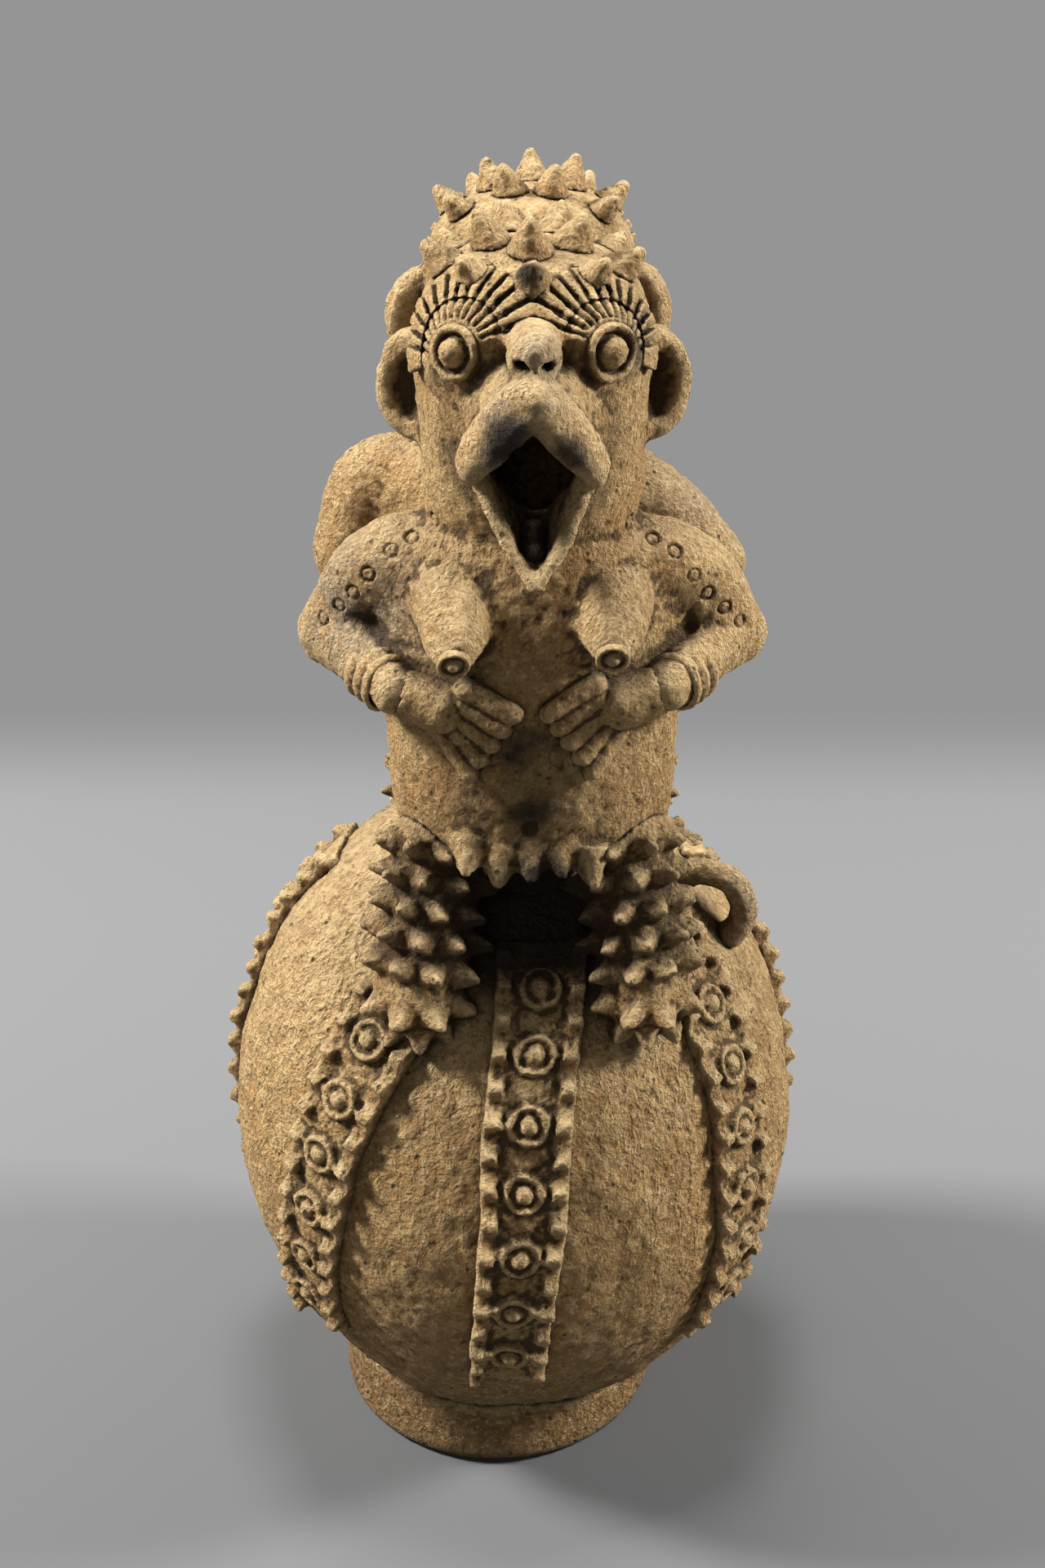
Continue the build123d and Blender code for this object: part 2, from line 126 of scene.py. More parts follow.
# Clay added to a form, each with its reach and its thickness
lip_side = (((0.0125, -0.079, 0.347), 0.010, 0.0016),)
lip_top = (((0, -0.086, 0.36), 0.010, 0.001),)
breast = (((0.021, -0.0625, 0.2975), 0.0085, 0.0024),)

# Smoke stains and painted shade, each with its reach and its strength
# Painted shade: the globe and the bands are darkened under the arch between the legs
globe_arch_shade = ((arch, 0.022, 3.0),)
band_arch_shade = ((arch, 0.018, 3.0),)
# Painted shade under the arch between the legs, and grime on the legs
leg_grime_and_shade = (((0, -0.055, 0.205), 0.026, 1.3), ((0.028, -0.055, 0.208), 0.03, 0.5))
# Painted shade with dirt on the belly, and painted shade under the trunk between the legs
trunk_smoke_and_shade = (
    ((0, -0.062, 0.243), 0.014, 0.66),
    ((-0.003, -0.066, 0.262), 0.022, 0.58),
    ((-0.018, -0.058, 0.248), 0.022, 0.42),
    ((0, -0.038, 0.212), 0.022, 1.0),
    ((0.004, -0.066, 0.222), 0.016, 0.75),
)
# Smoke stains at the temple and in the hair, painted shade behind the head and inside the mouth, and painted
# shade with dirt on the lip fronts
head_smoke_and_shade = (
    ((0.027, -0.062, 0.374), 0.014, 0.85),
    ((0, -0.02, 0.352), 0.022, 0.45),
    ((0, -0.055, 0.344), 0.02, 1.4),
    ((-0.004, -0.062, 0.388), 0.007, 0.95),
    ((-0.006, -0.091, 0.351), 0.012, 0.85),
    ((0.009, -0.090, 0.347), 0.010, 0.75),
)
# A smoke stain at the temple, and painted shade inside the mouth
face_smoke_and_shade = (((0.027, -0.062, 0.376), 0.012, 0.9), ((0, -0.085, 0.33), 0.02, 2.0))
hair_smoke = (((-0.001, -0.064, 0.39), 0.007, 0.95),)

# Places greyed by handling on a body, each with its reach and its strength
body_wear = (
    ((-0.046, -0.042, 0.294), 0.02, 1.0),
    ((0, -0.088, 0.374), 0.010, 0.75),
    ((-0.003, -0.091, 0.357), 0.012, 0.8),
)


def colour_property(label, words, default):
    """Colour that a user would change, with its opacity left out."""
    return FloatVectorProperty(
        name=label, description=words, default=default, size=3, min=0, max=1, subtype="COLOR"
    )


def length_property(label, words, default):
    """Length that a user would change, in metres."""
    return FloatProperty(
        name=label, description=words, default=default, min=0, precision=5, unit="LENGTH", subtype="DISTANCE"
    )


class AskosClay(bpy.types.PropertyGroup):
    """How the clay is worked."""
    globe_grain: length_property("Globe grain", "Size of the surface grid on globe and foot", 0.0018)
    band_grain: length_property("Band grain", "Size of the surface grid on bands and legs", 0.0008)
    body_grain: length_property("Body grain", "Size of the surface grid on bodies and heads", 0.00114)
    fine_grain: length_property("Fine grain", "Size of the surface grid on eyes, brows and hands", 0.00048)
    hand_seed: IntProperty(name="Hand", description="Which run of hand marks is used", default=11, min=1)
    bend: length_property("Bend", "How far the hand has pushed each form out of true", 0.0015)
    bend_size: length_property("Bend size", "Length over which the forms waver", 0.042)
    knead: length_property("Knead", "Depth of the finger marks", 0.0006)
    knead_size: length_property("Knead size", "Width of the finger marks", 0.012)
    lump: length_property("Lump", "Depth of the coarse grit under the skin", 0.00042)
    lump_size: length_property("Lump size", "Width of the coarse grit", 0.0029)
    pit: length_property("Pit", "Depth of the burnt-out pits", 0.0012)
    pit_size: length_property("Pit size", "Spacing of the burnt-out pits", 0.017)
    stud_radius: length_property("Stud radius", "Radius at the foot of a pinched stud", 0.0049)
    stud_rise: length_property("Stud rise", "How far a pinched stud stands out", 0.006)
    ring_radius: length_property("Reed radius", "Radius of the rings stamped on the arms", 0.0018)
    ring_depth: length_property("Reed depth", "Depth of the rings stamped on the arms", 0.0006)
    ring_count: IntProperty(name="Reed rings", description="Rings along each half of an arm", default=7)


class AskosColours(bpy.types.PropertyGroup):
    """Colours of the fired clay and of what lies on it."""
    ochre: colour_property("Ochre", "Body of the fired clay", (0.43, 0.25, 0.09))
    sand: colour_property("Sand", "Paler patches of the clay", (0.60, 0.385, 0.16))
    rust: colour_property("Rust", "Redder patches where the fire was hottest", (0.46, 0.215, 0.062))
    # Umber low on the vessel is partly real browning and partly painted shade; it also colours smears, gouges
    # and grit
    umber: colour_property("Umber", "Browner patches low on the vessel", (0.225, 0.122, 0.042))
    # Cream also paints top light on faces that look up and highlights on raised edges, besides dust, specks
    # and grit
    cream: colour_property("Cream", "Dust on the faces that look up", (0.76, 0.57, 0.31))
    # Dirt also paints shade in the creases and hollows, besides earth and pores
    dirt_and_shade: colour_property("Dirt", "Earth left in the creases", (0.05, 0.029, 0.012))
    # Soot also paints shade under the arches, inside the mouths, on the lip fronts, on the bellies and
    # between the heads
    soot_and_shade: colour_property("Soot", "Smoke stains", (0.016, 0.013, 0.011))
    worn: colour_property("Worn", "Arms and knobs greyed by handling", (0.235, 0.2, 0.15))


class AskosStage(bpy.types.PropertyGroup):
    """Floor, lamps and camera."""
    table: colour_property("Table", "Floor behind the vessel", (0.124, 0.124, 0.124))
    # Painted shade: the floor in front of the vessel is given a darker grey
    table_front: colour_property("Table front", "Floor in front of the vessel", (0.083, 0.083, 0.083))
    distance: colour_property("Distance", "Backdrop, and the floor far from the vessel", (0.30, 0.30, 0.30))
    table_depth: length_property("Table depth", "How far from the vessel the floor ends", 0.47)
    top_power: FloatProperty(name="Top lamp", description="Soft lamp overhead", default=44, unit="POWER")
    left_power: FloatProperty(name="Left lamp", description="Lamp on the left", default=98, unit="POWER")
    right_power: FloatProperty(name="Right lamp", description="Lamp on the right", default=64, unit="POWER")
    front_power: FloatProperty(name="Front lamp", description="Weak lamp in front", default=2.9, unit="POWER")
    sky: FloatProperty(name="Room", description="Light from the room", default=0.07, min=0)
    eye_height: length_property("Camera height", "Height of the camera", 0.489)
    eye_distance: length_property("Camera distance", "Distance of the camera in front", 0.554)
    eye_side: length_property("Camera side", "Distance of the camera to the right", 0.00292)
    eye_pitch: FloatProperty(
        name="Camera pitch", description="Tilt of the camera below level",
        default=math.radians(25.8), subtype="ANGLE",
    )
    lens: FloatProperty(name="Lens", description="Focal length in millimetres", default=46.875)


class Wire:
    """Value inside a material, so that its maths reads as Python."""

    def __init__(self, bench, socket):
        self.bench = bench
        self.socket = socket

    def maths(self, operation, first, second):
        return self.bench.add("ShaderNodeMath", {"operation": operation}, {0: first, 1: second})

    def __add__(self, other):
        return self.maths("ADD", self, other)

    def __radd__(self, other):
        return self.maths("ADD", other, self)

    def __sub__(self, other):
        return self.maths("SUBTRACT", self, other)

    def __rsub__(self, other):
        return self.maths("SUBTRACT", other, self)

    def __mul__(self, other):
        return self.maths("MULTIPLY", self, other)

    def __rmul__(self, other):
        return self.maths("MULTIPLY", other, self)


class Bench:
    """Material, or light of the room, being mixed."""

    def __init__(self, owner):
        self.owner = owner
        owner.use_nodes = True
        self.tree = owner.node_tree
        self.tree.nodes.clear()

    def add(self, kind, settings, inputs, output=0):
        """Adds a node, sets it up, fills its sockets and gives one of its outputs."""
        made = self.tree.nodes.new(kind)
        for key, value in settings.items():
            setattr(made, key, value)
        for key, value in inputs.items():
            if isinstance(value, Wire):
                self.tree.links.new(value.socket, made.inputs[key])
            else:
                made.inputs[key].default_value = value
        return Wire(self, made.outputs[output])

    def place(self):
        return self.add("ShaderNodeTexCoord", {}, {}, "Object")

    def stretched(self, scale):
        """Position on the piece, drawn out along its axes."""
        return self.add("ShaderNodeMapping", {}, {"Vector": self.place(), "Scale": scale})

    def cloud(self, size, detail=4.0, roughness=0.55, place=None):
        """Uneven patches about as wide as a size in metres."""
        return self.add(
            "ShaderNodeTexNoise",
            {},
            {
                "Vector": place or self.place(),
                "Scale": 1 / size,
                "Detail": detail,
                "Roughness": roughness,
            },
            "Fac",
        )

    def cells(self, size):
        """Distance to scattered points, a size in metres apart."""
        return self.add(
            "ShaderNodeTexVoronoi", {}, {"Vector": self.place(), "Scale": 1 / size}, "Distance"
        )

    def soft(self, value, low, high):
        """Rises smoothly from 0 at low to 1 at high."""
        return self.add(
            "ShaderNodeMapRange",
            {"interpolation_type": "SMOOTHSTEP"},
            {"Value": value, "From Min": low, "From Max": high},
        )

    def mark(self, name):
        """Value stored on the points of the piece."""
        return self.add("ShaderNodeAttribute", {"attribute_name": name}, {}, "Fac")

    def blend(self, share, under, over):
        """Colour laid over another where the share is 1."""
        return self.add(
            "ShaderNodeMix", {"data_type": "RGBA"}, {0: share, 6: under, 7: over}, 2
        )

    def seen(self):
        """1 where the camera looks straight at it."""
        return self.add("ShaderNodeLightPath", {}, {}, "Is Camera Ray")

    def close(self, surface, kind="ShaderNodeOutputMaterial"):
        """Ends the mixture with its surface and gives what it was mixed for."""
        output = self.tree.nodes.new(kind)
        self.tree.links.new(surface.socket, output.inputs["Surface"])
        return self.owner


def opaque(colour):
    """Colour with full opacity, as a colour socket takes it."""
    return tuple(colour) + (1.0,)


def fired_clay(name, grain, top_light_and_dust, dragged=1.0, grime_and_shade=0.0):
    """Gritty low-fired clay: dust and painted light on top, dirt and painted shade in creases, smoke stains
    and painted shade.

    The grain scales its grit, the dust share lightens the tops with dust and painted top light, dragged
    deepens the finger drags, and the grime share spreads the dirt and painted shade out of the creases and
    hollows.
    """
    tones = bpy.context.scene.askos_colours
    bench = Bench(bpy.data.materials.new(name))
    crease = bench.mark("crease")
    recess = bench.mark("recess")
    smoke_and_shade_mark = bench.mark("soot_and_shade")
    worn = bench.mark("worn")
    height = bench.add("ShaderNodeSeparateXYZ", {}, {"Vector": bench.place()}, "Z")
    normal = bench.add("ShaderNodeNewGeometry", {}, {}, "Normal")
    upward = bench.add("ShaderNodeSeparateXYZ", {}, {"Vector": normal}, "Z")
    # Ambient occlusion, used below to paint shade into the hollows
    shelter = bench.add("ShaderNodeAmbientOcclusion", {"samples": 8}, {"Distance": 0.014}, "AO")

    # What the clay varies by: its firing, the drag of the hand, and grit and pores
    patches = bench.cloud(0.05)
    fire = bench.cloud(0.028, detail=5.0)
    mottle = bench.cloud(0.011, detail=6.0, roughness=0.62)
    smears = bench.cloud(0.016, detail=5.0, place=bench.stretched((1, 1, 0.28)))
    scratches = bench.cloud(0.0042 * grain, detail=3.0, place=bench.stretched((1, 1, 0.7)))
    gouges = bench.soft(scratches, 0.42, 0.58)
    grit = bench.cloud(0.0015 * grain, detail=4.0, roughness=0.7)
    specks = bench.cells(0.0026)
    holes = bench.soft(bench.cells(0.0065), 0.15, 0.05)

    # The fired body, redder where it was hottest, and browner and darker low down: partly real browning,
    # partly painted shade
    pale = bench.soft(0.55 * patches + 0.45 * mottle, 0.4, 0.6)
    clay = bench.blend(pale, opaque(tones.ochre), opaque(tones.sand))
    clay = bench.blend(0.45 * bench.soft(fire, 0.5, 0.66), clay, opaque(tones.rust))
    low = bench.soft(height, 0.125, 0.015)
    browned_and_shaded_low = bench.soft(mottle + 0.35 * low, 0.5, 0.85) * (0.35 + 0.45 * low)
    clay = bench.blend(browned_and_shaded_low, clay, opaque(tones.umber))
    clay = bench.blend(0.3 * bench.soft(smears, 0.54, 0.72), clay, opaque(tones.umber))

    # Dust and painted top light on the tops, handling wear, painted highlights with edge wear on the raised
    # edges, and the grit that shows through
    dust_and_top_light = bench.soft(upward + 0.5 * mottle, 0.35, 1.2) * top_light_and_dust
    # Painted light, with dust: faces that look up are lightened towards cream
    clay = bench.blend(dust_and_top_light, clay, opaque(tones.cream))
    clay = bench.blend(0.9 * worn * bench.soft(mottle, 0.3, 0.6), clay, opaque(tones.worn))
    clay = bench.blend(0.3 - 0.3 * gouges, clay, opaque(tones.umber))
    # Painted highlight, with edge wear: raised edges are lightened towards cream
    clay = bench.blend(0.35 * bench.soft(crease, -0.1, -0.7), clay, opaque(tones.cream))
    clay = bench.blend(0.5 * bench.soft(specks, 0.26, 0.08), clay, opaque(tones.cream))
    clay = bench.blend(0.45 * bench.soft(grit, 0.53, 0.66), clay, opaque(tones.cream))
    clay = bench.blend(0.65 * bench.soft(grit, 0.48, 0.34), clay, opaque(tones.umber))

    # Smoke stains and painted shade, then dirt with painted shade in the creases and hollows, and earth in
    # the pores
    # Smoke stains, and painted shade laid with the same mark
    smoke_and_shade_share = bench.soft(smoke_and_shade_mark + 0.7 * (mottle - 0.5), 0.25, 0.75)
    clay = bench.blend(0.95 * smoke_and_shade_share, clay, opaque(tones.soot_and_shade))
    # Painted shade and dirt: creases and hollows of the surface are darkened
    crease_dirt_and_shade = bench.soft(0.8 * crease + recess + 0.6 * (grit - 0.5), 0.08, 0.8)
    clay = bench.blend(0.8 * crease_dirt_and_shade, clay, opaque(tones.dirt_and_shade))
    # Painted shade and dirt: places that ambient occlusion finds closed in are darkened
    open_share = shelter + 0.3 * (mottle - 0.5)
    occluded_dirt_and_shade = bench.soft(open_share, 0.88 + 0.08 * grime_and_shade, 0.32 + 0.28 * grime_and_shade)
    clay = bench.blend(0.85 * occluded_dirt_and_shade, clay, opaque(tones.dirt_and_shade))
    clay = bench.blend(0.7 * holes, clay, opaque(tones.dirt_and_shade))

    drag = dragged * (0.16 * gouges + 0.3 * mottle + 0.15 * smears)
    relief = grit + drag - 0.4 * holes - 0.12 * bench.soft(specks, 0.25, 0.05)
    bump = bench.add(
        "ShaderNodeBump", {}, {"Strength": 1.0, "Distance": 0.005 * grain, "Height": relief}, "Normal"
    )
    return bench.close(bench.add("ShaderNodeBsdfPrincipled", {}, {
        "Base Color": clay,
        "Roughness": 0.96 - 0.28 * worn * bench.soft(mottle, 0.35, 0.6),
        "Specular IOR Level": 0.25,
        "Normal": bump,
    }))


def neighbours_mean(spots, edges, rounds):
    """Each point moved towards the mean of its neighbours, over and over."""
    count = len(spots)
    ends = np.concatenate((edges[:, 0], edges[:, 1]))
    others = np.concatenate((edges[:, 1], edges[:, 0]))
    shares = np.maximum(np.bincount(ends, minlength=count), 1)[:, None]
    for _ in range(rounds):
        sums = [np.bincount(ends, weights=spots[others, axis], minlength=count) for axis in range(3)]
        spots = 0.5 * spots + 0.5 * np.stack(sums, axis=1) / shares
    return spots


def read_points(mesh):
    """Points and normals of a mesh as arrays."""
    spots = np.empty(len(mesh.vertices) * 3)
    ways = np.empty(len(mesh.vertices) * 3)
    mesh.vertices.foreach_get("co", spots)
    mesh.vertices.foreach_get("normal", ways)
    return spots.reshape(-1, 3), ways.reshape(-1, 3)


def read_edges(mesh):
    """Pairs of joined points of a mesh."""
    edges = np.empty(len(mesh.edges) * 2, dtype=np.int64)
    mesh.edges.foreach_get("vertices", edges)
    return edges.reshape(-1, 2)


def write_points(mesh, spots):
    mesh.vertices.foreach_set("co", spots.ravel())
    mesh.update()


def stand_clear(spots):
    """0 at the ground and 1 above it, so that the foot stays flat."""
    return np.clip((spots[:, 2:] - 0.0015) / 0.01, 0, 1)


def bent_by_hand(mesh):
    """Pushes a form out of true as hands do, by the same amount wherever two pieces meet."""
    clay = bpy.context.scene.askos_clay
    noise.seed_set(clay.hand_seed)
    spots, _ = read_points(mesh)
    wide = np.array([noise.noise_vector(spot) for spot in (spots / clay.bend_size).tolist()])
    close = np.array([noise.noise_vector(spot) for spot in (spots / clay.knead_size).tolist()])
    write_points(mesh, spots + stand_clear(spots) * (clay.bend * wide + clay.knead * close))


def roughened(mesh, amount, pits=False):
    """Raises grit and sinks pits along the surface's own normals."""
    clay = bpy.context.scene.askos_clay
    spots, ways = read_points(mesh)
    grit = np.array([
        noise.fractal(spot, 0.8, 2.1, 3) for spot in (spots / clay.lump_size).tolist()
    ])
    moves = amount * clay.lump * grit
    if pits:
        nearest = [noise.voronoi(spot) for spot in (spots / clay.pit_size).tolist()]
        gaps = np.array([found[0][0] for found in nearest])
        picked = np.array([noise.cell(found[1][0] * 7.3) for found in nearest])
        width = 0.07 + 0.05 * picked
        moves -= clay.pit * np.clip(1 - (gaps / width) ** 2, 0, 1) * (picked > 0.6)
    write_points(mesh, spots + stand_clear(spots) * moves[:, None] * ways)


def store_mark(mesh, name, values):
    """Keeps a value on every point, for the material to read."""
    mark = mesh.attributes.new(name, "FLOAT", "POINT")
    mark.data.foreach_set("value", np.asarray(values, dtype=np.float32))


def mark_surface(mesh, stains_and_shade, rubbed):
    """Stores where the surface is creased, hollowed and rubbed, and where smoke stains and painted shade lie.
    """
    spots, ways = read_points(mesh)
    edges = read_edges(mesh)
    near = neighbours_mean(spots, edges, 6)
    far = neighbours_mean(near, edges, 40)
    spacing = np.linalg.norm(spots[edges[:, 0]] - spots[edges[:, 1]], axis=1).mean()
    store_mark(mesh, "crease", np.clip(((near - spots) * ways).sum(1) / (0.35 * spacing), -1, 1))
    store_mark(mesh, "recess", np.clip(((far - spots) * ways).sum(1) / (1.6 * spacing), -1, 1))
    for name, places in (("soot_and_shade", stains_and_shade), ("worn", rubbed)):
        amount = np.zeros(len(spots))
        for centre, radius, strength in places:
            gap = np.linalg.norm(spots - np.array(centre), axis=1) / radius
            amount = np.maximum(amount, strength * np.exp(-gap ** 2))
        if name == "soot_and_shade":
            # Painted shade: smoke marks are weakened on faces that look up and kept full on faces that look
            # down
            amount *= np.clip(1.15 - 0.75 * ways[:, 2], 0, 1)
        store_mark(mesh, name, amount)


def pinch_stud(form, spot, way):
    """Adds a pinched stud that stands out of a form at a spot."""
    clay = bpy.context.scene.askos_clay
    sunk = clay.stud_radius
    middle = spot + 0.5 * (clay.stud_rise - sunk) * way
    turn = way.to_track_quat("Z", "Y").to_matrix().to_4x4()
    bmesh.ops.create_cone(
        form, cap_ends=True, segments=12, radius1=1.4 * clay.stud_radius, radius2=0.2 * clay.stud_radius,
        depth=clay.stud_rise + sunk, matrix=Matrix.Translation(middle) @ turn,
    )


def joined_copy(nodes, studs):
    """One mesh of copies of the named nodes, with their doubled points merged, and of added studs."""
    form = bmesh.new()
    for node in nodes:
        form.from_mesh(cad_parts[node].data)
    bmesh.ops.remove_doubles(form, verts=form.verts, dist=1e-6)
    for spot, way in studs:
        pinch_stud(form, spot, way)
    mesh = bpy.data.meshes.new(nodes[0])
    form.to_mesh(mesh)
    form.free()
    return mesh


def modelled(name, nodes, grain, rounds, studs=()):
    """Lump of clay that takes in the named nodes, with its edges smoothed by hand."""
    lump = bpy.data.objects.new(name, joined_copy(nodes, studs))
    bpy.context.scene.collection.objects.link(lump)
    skin = lump.modifiers.new("Skin", "REMESH")
    skin.mode = "VOXEL"
    skin.voxel_size = grain
    skin.use_smooth_shade = True
    worked = lump.modifiers.new("Worked", "SMOOTH")
    worked.factor = 0.5
    worked.iterations = rounds
    graph = bpy.context.evaluated_depsgraph_get()
    rough = lump.data
    lump.data = bpy.data.meshes.new_from_object(lump.evaluated_get(graph))
    lump.modifiers.clear()
    bpy.data.meshes.remove(rough)
    lump.data.name = name
    if len(lump.data.vertices) == 0:
        raise RuntimeError("No clay was modelled for " + name)
    return lump


def dressed(lump, nodes, material, stains_and_shade=(), rubbed=()):
    """Marks a finished lump, gives it its clay and lets it stand for its nodes."""
    mark_surface(lump.data, stains_and_shade, rubbed)
    lump.data.materials.clear()
    lump.data.materials.append(material)
    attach(lump, "root")
    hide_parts(*nodes)


def turned(side, spot):
    """Place on one of the two figures, which stand back to back."""
    way = 1 if side == "front" else -1
    return Vector((figure_shift + way * spot[0], way * spot[1], spot[2]))


def turned_way(side, way):
    """Direction on one of the two figures."""
    return turned(side, way) - turned(side, (0, 0, 0))


def mirrored(spot, hand):
    """Place or direction on the right half of a figure for a hand of 1, and on the left for -1."""
    return Vector((hand * spot[0], spot[1], spot[2]))


def placed(side, marks, hand=1):
    """Marks carried over to a figure and to one of its halves, with what they hold besides their places."""
    return [(turned(side, mirrored(spot, hand)), *rest) for spot, *rest in marks]


def placed_twice(side, marks):
    """Marks on both halves of a figure."""
    return placed(side, marks) + placed(side, marks, -1)


def pushed(side, swellings, hand=1):
    """Swellings carried over to a figure and to one of its halves, with their pushes."""
    return [
        (turned(side, mirrored(spot, hand)), reach, turned_way(side, mirrored(push, hand)))
        for spot, reach, push in swellings
    ]


def pushed_twice(side, swellings):
    """Swellings on both halves of a figure."""
    return pushed(side, swellings) + pushed(side, swellings, -1)


def swelled(mesh, places):
    """Pushes rounded swellings out of the surface, each by its own amount and way."""
    spots, _ = read_points(mesh)
    for centre, radius, push in places:
        gap = np.linalg.norm(spots - np.array(centre), axis=1) / radius
        spots += np.exp(-gap ** 2)[:, None] * np.array(push)
    write_points(mesh, spots)


def thickened(mesh, places):
    """Adds clay near each place, along the surface's own normals."""
    spots, ways = read_points(mesh)
    for centre, radius, rise in places:
        gap = np.linalg.norm(spots - np.array(centre), axis=1) / radius
        spots += rise * np.exp(-gap ** 2)[:, None] * ways
    write_points(mesh, spots)


def islands(form):
    """Separate lumps of a form, as lists of their points."""
    waiting = set(form.verts)
    found = []
    while waiting:
        lump = [waiting.pop()]
        for vert in lump:
            joined = [edge.other_vert(vert) for edge in vert.link_edges]
            lump.extend(other for other in joined if other in waiting)
            waiting.difference_update(joined)
        found.append(lump)
    return found


def drawn_out(mesh, centre, share):
    """Draws every separate spike out from its root, away from a centre."""
    form = bmesh.new()
    form.from_mesh(mesh)
    for lump in islands(form):
        root = min((vert.co for vert in lump), key=lambda spot: (spot - centre).length).copy()
        for vert in lump:
            vert.co = root + share * (vert.co - root)
    form.to_mesh(mesh)
    form.free()


def blended(mesh, places, rounds):
    """Smooths the joins near each place, and leaves the rest as it is."""
    spots, _ = read_points(mesh)
    smooth = neighbours_mean(spots, read_edges(mesh), rounds)
    share = np.zeros(len(spots))
    for centre, radius in places:
        gap = np.linalg.norm(spots - np.array(centre), axis=1) / radius
        share = np.maximum(share, np.exp(-gap ** 4))
    write_points(mesh, spots + share[:, None] * (smooth - spots))


def settled(mesh):
    """Presses a band into the globe, so that its edges close on it."""
    spots, _ = read_points(mesh)
    inward = np.array(globe_centre) - spots
    write_points(mesh, spots + band_press * inward / np.linalg.norm(inward, axis=1)[:, None])


def foot_studs(side, hand):
    """Studs round the foot of a leg, each with the way that it points."""
    studs = []
    for dip, turns in foot_stud_rows:
        for turn in turns:
            dip_angle = math.radians(dip)
            turn_angle = math.radians(turn)
            way = turned_way(side, (
                math.sin(turn_angle) * math.cos(dip_angle),
                -math.cos(turn_angle) * math.cos(dip_angle),
                math.sin(dip_angle),
            ))
            studs.append((turned(side, mirrored(foot, hand)) + foot_radius * way, way))
    return studs


def girdle_studs(side):
    """Studs along the lower edge of the trunk, between the legs, none quite in line with the next."""
    studs = []
    for number in range(girdle_count):
        across = girdle_step * (number - (girdle_count - 1) / 2)
        rise = girdle_waver * math.cos(2.4 * number)
        way = turned_way(side, (6 * across, -0.7 - 80 * rise, -0.6))
        studs.append((turned(side, girdle + Vector((across, 0, rise))), way.normalized()))
    return studs


def brow_roots():
    """Clay pressed up between the eye and its brow, all round the upper half of the eye."""
    roots = []
    for turn in root_turns:
        across = root_radius * math.cos(math.radians(turn))
        rise = root_radius * math.sin(math.radians(turn))
        spot = eye_spot + Vector((0.86 * across, 0.5 * across + 0.12 * rise, rise))
        roots.append((spot, root_reach, root_push))
    return roots


def body_swellings(side):
    """All that swells, or is pinched, on a figure's body and head."""
    swellings = pushed_twice(side, shoulder_swell)
    if side == "rear":
        swellings += pushed(side, rear_lean)
    swellings += pushed_twice(side, eye_mound)
    swellings += pushed_twice(side, brow_roots())
    return swellings + pushed(side, jaw_tip) + pushed_twice(side, jaw_sides)


def ring_places(side):
    """Places of the reed rings along the top of each arm and under each forearm."""
    clay = bpy.context.scene.askos_clay
    places = []
    for hand in (1, -1):
        for number in range(clay.ring_count):
            share = number / (clay.ring_count - 1)
            upper = shoulder.lerp(elbow, -0.25 + 1.15 * share)
            upper += Vector((0.002, -0.0075, 0.0105 - 0.004 * share))
            lower = elbow.lerp(wrist, -0.05 + 0.66 * share)
            lower += Vector((0.003, -0.002, -0.0085))
            places.append(turned(side, mirrored(upper, hand)))
            places.append(turned(side, mirrored(lower, hand)))
    return places


def comb_lines(side):
    """Lines that the comb draws from each eye up through its brow: the eye, a way and an outward way."""
    lines = []
    for hand in (1, -1):
        eye = turned(side, mirrored(eye_spot, hand))
        outward = mirrored(eye_outward, hand).normalized()
        across = Vector((hand, 0, 0))
        across = (across - across.dot(outward) * outward).normalized()
        rise = hand * outward.cross(across)
        for number in range(comb_count):
            turn = math.radians(comb_start + comb_step * number)
            way = math.cos(turn) * across + math.sin(turn) * rise
            lines.append((eye, turned_way(side, way), turned_way(side, outward)))
    return lines


def press_combs(mesh, lines):
    """Draws the teeth of a comb through the clay, along each line."""
    spots, ways = read_points(mesh)
    for eye, way, outward in lines:
        offset = spots - np.array(eye)
        along = offset @ np.array(way)
        aside = offset @ np.array(outward.cross(way))
        deep = np.abs(offset @ np.array(outward))
        inside = (along > comb_near) & (along < comb_far) & (deep < comb_far)
        groove = inside * np.exp(-(aside / comb_width) ** 2)
        spots = spots - comb_depth * groove[:, None] * ways
    write_points(mesh, spots)


def divide_between(form, chosen):
    """Divides the edges between chosen points of a form."""
    edges = [edge for edge in form.edges if edge.verts[0] in chosen and edge.verts[1] in chosen]
    bmesh.ops.subdivide_edges(form, edges=edges, cuts=2, use_grid_fill=True)


def refined(mesh, lines):
    """Divides the surface more finely where the comb passes."""
    form = bmesh.new()
    form.from_mesh(mesh)
    chosen = set()
    for vert in form.verts:
        for eye, _, outward in lines[::comb_count]:
            raised = vert.co.z > eye.z and vert.normal.dot(outward) > 0
            if raised and comb_near < (vert.co - eye).length < comb_far:
                chosen.add(vert)
    divide_between(form, chosen)
    form.to_mesh(mesh)
    form.free()


